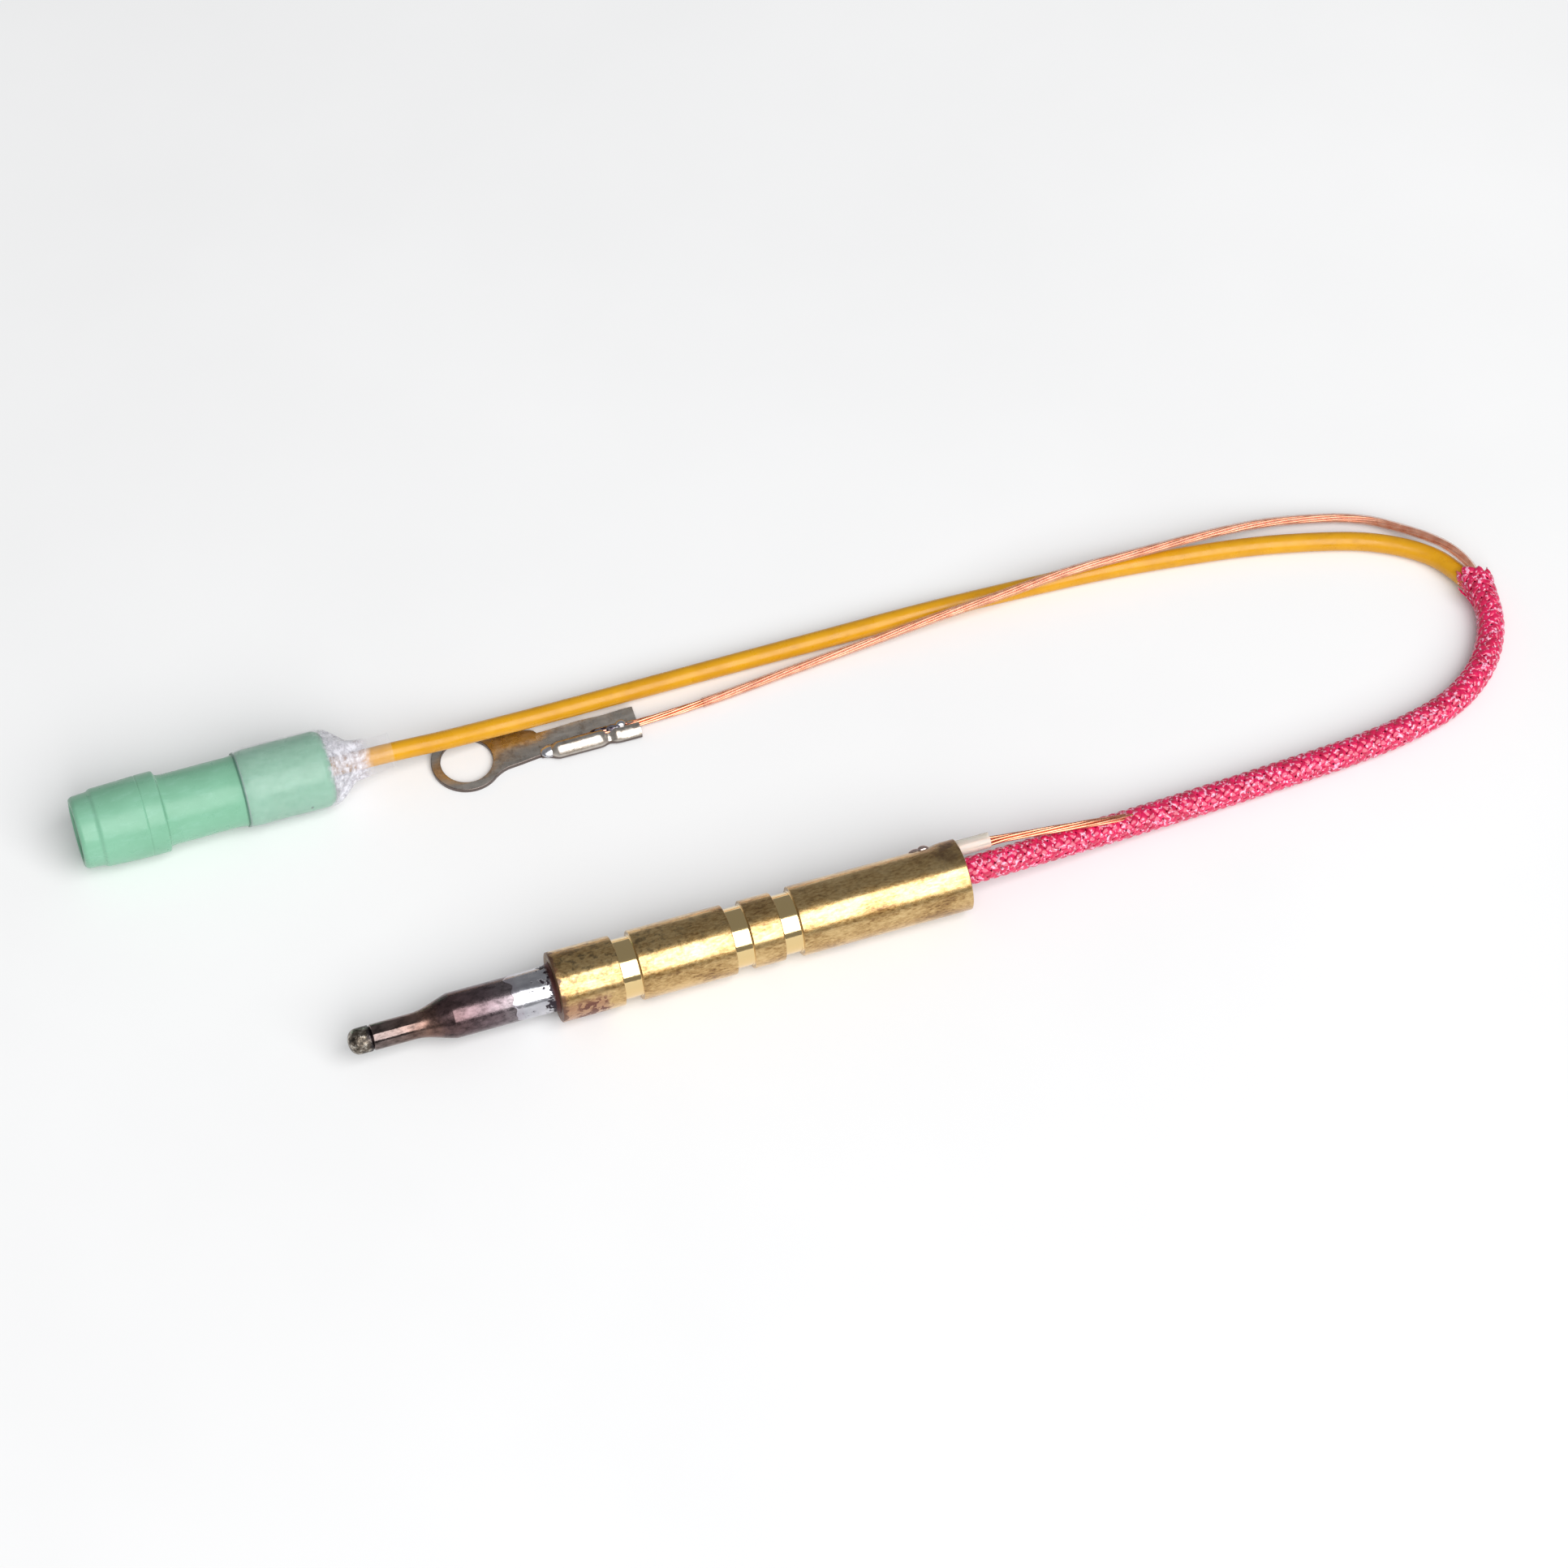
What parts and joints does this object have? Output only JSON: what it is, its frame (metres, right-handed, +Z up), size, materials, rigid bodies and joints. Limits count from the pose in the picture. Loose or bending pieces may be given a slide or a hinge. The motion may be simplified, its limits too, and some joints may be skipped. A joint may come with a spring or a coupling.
{
  "type": "thermocouple",
  "caption": "gas-burner thermocouple: steel probe in a grooved brass body, leads in a braided sleeve to a socket plug and a ring terminal",
  "frame": {"origin": "on the resting plane, under the middle of the probe and body", "axes": "+X runs from the probe's tip to the body's rear, along their axis; +Y points from the body to the plug; +Z is up"},
  "size_m": [0.1463, 0.0393, 0.0084],
  "materials": {
    "tip_steel": "bare weld, dulled by heat",
    "tinted_steel": "polished, heat-tinted purple-brown",
    "core_alloy": "drawn wire",
    "ceramic_insulation": "matt, unglazed",
    "silver_solder": "bright flow with pits",
    "brass": "turned, lightly polished, darkened by handling",
    "copper": "bare bright copper",
    "seal_compound": "matt potting",
    "cream_liner": "smooth, slightly waxy",
    "clear_sleeve": "clear, wrinkled where it has shrunk",
    "red_braid": "coated glass-fibre braid with pale flecks",
    "amber_insulation": "smooth silicone or varnished tube",
    "tinned_steel": "dull tin plate",
    "contact_brass": "plated sheet",
    "mint_boot": "moulded, satin"
  },
  "bodies": {
    "root": {"hot_junction_cap": "tip_steel", "probe_sheath": "tinted_steel", "thermoelement_core": "core_alloy", "sheath_insulator": "ceramic_insulation", "front_braze": "silver_solder", "brass_body": "brass", "cold_junction_ferrule": "copper", "body_liner": "ceramic_insulation", "rear_seal": "seal_compound", "return_lead_solder": "silver_solder", "return_lead_liner": "cream_liner", "return_lead_wire": "copper", "return_lead_sleeve": "clear_sleeve", "braided_sleeve": "red_braid", "core_lead_conductor": "copper", "core_lead_insulation": "amber_insulation", "ring_terminal": "tinned_steel", "ring_terminal_solder": "silver_solder", "plug_receptacle": "contact_brass", "plug_boot": "mint_boot", "plug_shrink_sleeve": "clear_sleeve"}
  },
  "joints": []
}
